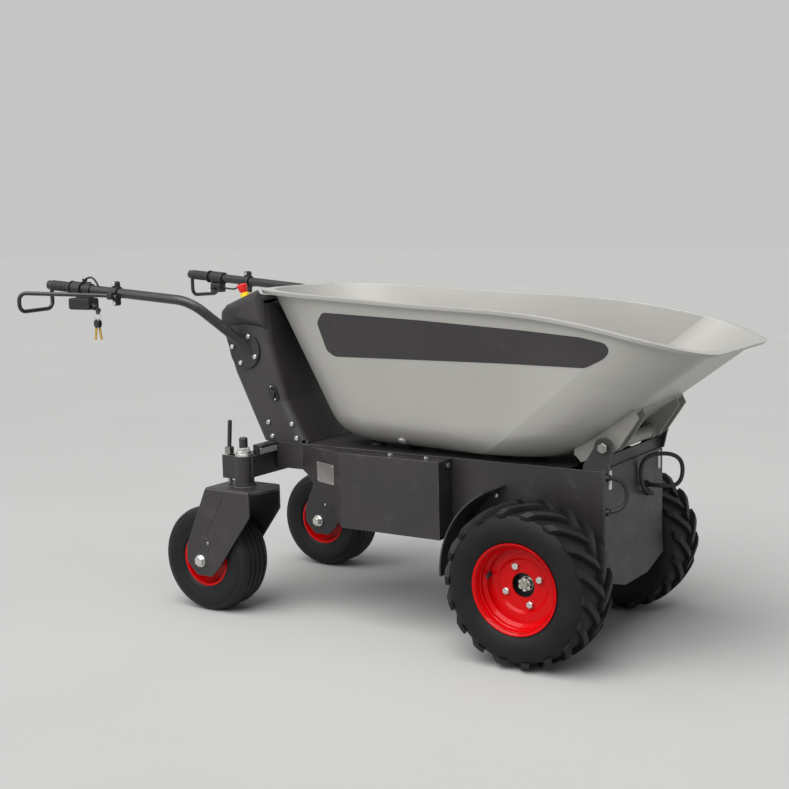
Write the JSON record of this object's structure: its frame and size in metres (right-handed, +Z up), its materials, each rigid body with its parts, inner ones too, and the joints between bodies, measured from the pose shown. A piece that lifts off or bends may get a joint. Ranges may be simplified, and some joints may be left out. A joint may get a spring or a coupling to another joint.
{
  "type": "electric mini dumper",
  "caption": "Pedestrian-steered electric mini dumper: tipping moulded tub on a folded steel chassis with driven lugged front wheels, lockable rear castors and twin handlebars.",
  "frame": {"origin": "middle of the machine's outer box, on the ground", "axes": "+X forwards, the way the tub tips; +Y to the machine's left; +Z up"},
  "size_m": [2.0418, 0.898, 0.9492],
  "materials": {
    "tub_plastic": "silver-grey moulded plastic, fine grain",
    "chassis_paint": "dark warm grey powder coat",
    "cowl_plastic": "dark grey moulded plastic",
    "drive_rubber": "black treaded rubber",
    "rim_paint": "gloss red paint",
    "zinc": "bright zinc plate",
    "steel": "bare turned steel",
    "bracket_paint": "mid grey paint",
    "handle_paint": "black powder coat",
    "black_rubber": "soft black rubber",
    "black_plastic": "black moulded plastic",
    "stop_red": "gloss red plastic",
    "stop_yellow": "gloss yellow plastic",
    "reflector_white": "white reflector plastic",
    "cast_iron": "cast housing, dark paint",
    "bronze": "sintered bearing bronze",
    "alloy": "finned aluminium",
    "key_brass": "brass key blanks with black bows",
    "cable": "black cable sheath"
  },
  "bodies": {
    "chassis": {"chassis_tray": "chassis_paint", "front_panel": "chassis_paint", "deck_plate": "chassis_paint", "battery_boxes": "chassis_paint", "mudguards": "chassis_paint", "hinge_ears": "chassis_paint", "rear_beam": "chassis_paint", "marker_lamps": "reflector_white", "cables": "cable", "cable_glands": "black_plastic", "castor_bushes": "bronze", "rear_cowl": "cowl_plastic", "cover_bolts": "zinc", "charge_socket": "black_plastic", "emergency_stop_base": "stop_yellow", "handlebar_left": "handle_paint", "handlebar_right": "handle_paint", "handle_clamps": "black_plastic", "hand_guards": "handle_paint", "grips": "black_rubber", "throttle_body": "black_plastic", "direction_switch": "black_plastic", "key_switch": "black_plastic", "batteries": "black_plastic", "motor_controller": "alloy", "drive_motor": "cast_iron", "axle_housing": "cast_iron", "axle_bearings": "steel", "hinge_bolts": "zinc", "tub_rest_pads": "black_rubber"},
    "tub": {"tub": "tub_plastic", "tipping_bracket": "bracket_paint"},
    "stop_button": {"emergency_stop_button": "stop_red"},
    "throttle_paddle": {"throttle_paddle": "black_plastic"},
    "push_button": {"push_button": "black_plastic"},
    "direction_toggle": {"direction_toggle": "black_plastic"},
    "ignition_key": {"ignition_key": "black_plastic"},
    "key_bunch": {"key_bunch": "key_brass"},
    "charge_cap": {"charge_cap": "black_rubber"},
    "left_wheel": {"drive_tyre_left": "drive_rubber", "drive_rim_left": "rim_paint", "drive_hub_left": "steel", "wheel_fasteners_left": "zinc"},
    "left_castor": {"castor_fork_left": "chassis_paint", "castor_fasteners_left": "zinc"},
    "left_castor_wheel": {"castor_tyre_left": "drive_rubber", "castor_rim_left": "rim_paint"},
    "left_lock_pin": {"lock_pin_left": "steel"},
    "left_lock_lever": {"lock_lever_left": "handle_paint"},
    "right_wheel": {"drive_tyre_right": "drive_rubber", "drive_rim_right": "rim_paint", "drive_hub_right": "steel", "wheel_fasteners_right": "zinc"},
    "right_castor": {"castor_fork_right": "chassis_paint", "castor_fasteners_right": "zinc"},
    "right_castor_wheel": {"castor_tyre_right": "drive_rubber", "castor_rim_right": "rim_paint"},
    "right_lock_pin": {"lock_pin_right": "steel"},
    "right_lock_lever": {"lock_lever_right": "handle_paint"}
  },
  "joints": [
    {"name": "tub_tip", "type": "hinge", "parent": "chassis", "child": "tub", "pos_m": [0.73245, 0, 0.536], "axis": [0, 1, 0], "range_deg": [0, 65]},
    {"name": "left_wheel_spin", "type": "hinge", "parent": "chassis", "child": "left_wheel", "pos_m": [0.57845, 0.285, 0.205], "axis": [0, 1, 0], "continuous": true},
    {"name": "left_castor_swivel", "type": "hinge", "parent": "chassis", "child": "left_castor", "pos_m": [-0.31455, 0.28, 0.4], "axis": [0, 0, 1], "continuous": true},
    {"name": "left_castor_spin", "type": "hinge", "parent": "left_castor", "child": "left_castor_wheel", "pos_m": [-0.42855, 0.28, 0.15], "axis": [0, 1, 0], "continuous": true},
    {"name": "left_lock_drop", "type": "slide", "parent": "chassis", "child": "left_lock_pin", "axis": [0, 0, -1], "range_m": [0, 0.018]},
    {"name": "left_lock_flip", "type": "hinge", "parent": "left_lock_pin", "child": "left_lock_lever", "pos_m": [-0.36655, 0.28, 0.464], "axis": [0, -1, 0], "range_deg": [0, 90]},
    {"name": "right_wheel_spin", "type": "hinge", "parent": "chassis", "child": "right_wheel", "pos_m": [0.57845, -0.285, 0.205], "axis": [0, 1, 0], "continuous": true},
    {"name": "right_castor_swivel", "type": "hinge", "parent": "chassis", "child": "right_castor", "pos_m": [-0.31455, -0.28, 0.4], "axis": [0, 0, 1], "continuous": true},
    {"name": "right_castor_spin", "type": "hinge", "parent": "right_castor", "child": "right_castor_wheel", "pos_m": [-0.42855, -0.28, 0.15], "axis": [0, 1, 0], "continuous": true},
    {"name": "right_lock_drop", "type": "slide", "parent": "chassis", "child": "right_lock_pin", "axis": [0, 0, -1], "range_m": [0, 0.018]},
    {"name": "right_lock_flip", "type": "hinge", "parent": "right_lock_pin", "child": "right_lock_lever", "pos_m": [-0.36655, -0.28, 0.464], "axis": [0, -1, 0], "range_deg": [0, 90]},
    {"name": "stop_press", "type": "slide", "parent": "chassis", "child": "stop_button", "axis": [0.3618, 0, -0.9323], "range_m": [0, 0.005]},
    {"name": "throttle_push", "type": "hinge", "parent": "chassis", "child": "throttle_paddle", "pos_m": [-0.90355, -0.26694, 0.91369], "axis": [0, -1, 0], "range_deg": [0, 40], "stiffness_Nm_per_rad": 0.08, "springref_deg": -17.19},
    {"name": "button_press", "type": "slide", "parent": "chassis", "child": "push_button", "axis": [0, 0, -1], "range_m": [0, 0.003], "stiffness_N_per_m": 400, "springref_m": -0.001},
    {"name": "direction_flip", "type": "hinge", "parent": "chassis", "child": "direction_toggle", "pos_m": [-0.89255, 0.2971, 0.87841], "axis": [1, 0, 0], "range_deg": [-20, 20]},
    {"name": "key_turn", "type": "hinge", "parent": "chassis", "child": "ignition_key", "pos_m": [-0.84955, -0.30675, 0.86433], "axis": [0.7659, 0, -0.6429], "range_deg": [0, 90]},
    {"name": "key_swing", "type": "hinge", "parent": "ignition_key", "child": "key_bunch", "pos_m": [-0.83261, -0.30675, 0.84096], "axis": [0, 1, 0], "range_deg": [-25, 25]},
    {"name": "cap_open", "type": "hinge", "parent": "chassis", "child": "charge_cap", "pos_m": [-0.28202, -0.1935, 0.62989], "axis": [-0.9205, 0, -0.3907], "range_deg": [0, 110]}
  ],
  "couplings": [
    {"joint": "left_lock_drop", "follows": "left_lock_flip", "m_per_rad": 0.011459},
    {"joint": "right_lock_drop", "follows": "right_lock_flip", "m_per_rad": 0.011459}
  ]
}
